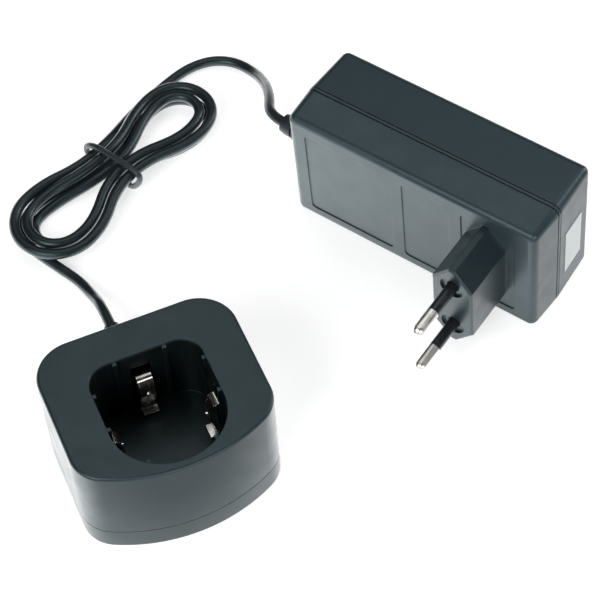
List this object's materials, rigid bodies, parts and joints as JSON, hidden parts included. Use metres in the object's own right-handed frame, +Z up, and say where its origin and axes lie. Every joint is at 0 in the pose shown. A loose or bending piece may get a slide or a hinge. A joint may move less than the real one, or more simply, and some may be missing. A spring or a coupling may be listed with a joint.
{
  "type": "power tool battery charger",
  "caption": "Battery charger with an open cradle that has spring contacts, a mains adapter with a round-pin plug, and a thin cord tied in a hank between them.",
  "frame": {"origin": "middle of the cradle's underside, on the surface that the charger stands on", "axes": "+Z up, +Y towards the side of the cradle that the cord leaves, +X towards the adapter"},
  "size_m": [0.1719, 0.1682, 0.0469],
  "materials": {
    "charcoal_plastic": "satin, finely grained",
    "nickel_contact": "bright nickel plating",
    "nickel_pin": "bright nickel plating",
    "sleeve_plastic": "smooth",
    "cord_rubber": "smooth, slightly shiny",
    "tie_plastic": "coated wire",
    "plate_film": "smooth film",
    "zinc_steel": "zinc plated",
    "green_board": "solder mask",
    "black_package": "moulded",
    "ferrite": "sintered",
    "capacitor_sleeve": "shrink sleeve",
    "fuse_body": "moulded",
    "blue_ceramic": "dipped",
    "aluminium_plate": "mill finish",
    "bobbin_plastic": "moulded",
    "copper_wire": "enamelled copper",
    "lead_insulation": "insulated wire"
  },
  "bodies": {
    "charger": {"cradle_housing": "charcoal_plastic", "base_cover": "charcoal_plastic", "base_screws": "zinc_steel", "cradle_strain_relief": "cord_rubber", "adapter_front_shell": "charcoal_plastic", "adapter_back_shell": "charcoal_plastic", "plug_pin_upper": "nickel_pin", "plug_pin_lower": "nickel_pin", "pin_sleeve_upper": "sleeve_plastic", "pin_sleeve_lower": "sleeve_plastic", "adapter_strain_relief": "cord_rubber", "rating_plate": "plate_film", "cord_hank": "cord_rubber", "cord_tie": "tie_plastic", "cord_to_cradle": "cord_rubber", "cord_to_adapter": "cord_rubber", "cradle_board": "green_board", "charge_controller": "black_package", "cradle_inductor": "ferrite", "cradle_capacitor": "capacitor_sleeve", "board_screws": "zinc_steel", "cradle_leads": "lead_insulation", "main_board": "green_board", "input_fuse": "fuse_body", "bridge_rectifier": "black_package", "line_choke": "ferrite", "bulk_capacitor": "capacitor_sleeve", "switch_heatsink": "aluminium_plate", "switch_transistor": "black_package", "optocoupler": "black_package", "interference_capacitor": "blue_ceramic", "output_capacitor_left": "capacitor_sleeve", "output_capacitor_right": "capacitor_sleeve", "output_heatsink": "aluminium_plate", "output_diode": "black_package", "output_choke": "ferrite", "transformer_core": "ferrite", "transformer_bobbin": "bobbin_plastic", "transformer_winding": "copper_wire", "mains_leads": "lead_insulation", "output_leads": "lead_insulation"},
    "rear_contact": {"contact_rear": "nickel_contact"},
    "left_contact": {"contact_left": "nickel_contact"},
    "right_contact": {"contact_right": "nickel_contact"}
  },
  "joints": [
    {"name": "rear_contact_flex", "type": "hinge", "parent": "charger", "child": "rear_contact", "pos_m": [0, 0.0153, 0.0044], "axis": [-1, 0, 0], "range_deg": [0, 5], "stiffness_Nm_per_rad": 0.5},
    {"name": "left_contact_flex", "type": "hinge", "parent": "charger", "child": "left_contact", "pos_m": [-0.0176, -0.0025, 0.0044], "axis": [0, -1, 0], "range_deg": [0, 5], "stiffness_Nm_per_rad": 0.5},
    {"name": "right_contact_flex", "type": "hinge", "parent": "charger", "child": "right_contact", "pos_m": [0.0176, -0.0025, 0.0044], "axis": [0, 1, 0], "range_deg": [0, 5], "stiffness_Nm_per_rad": 0.5}
  ]
}
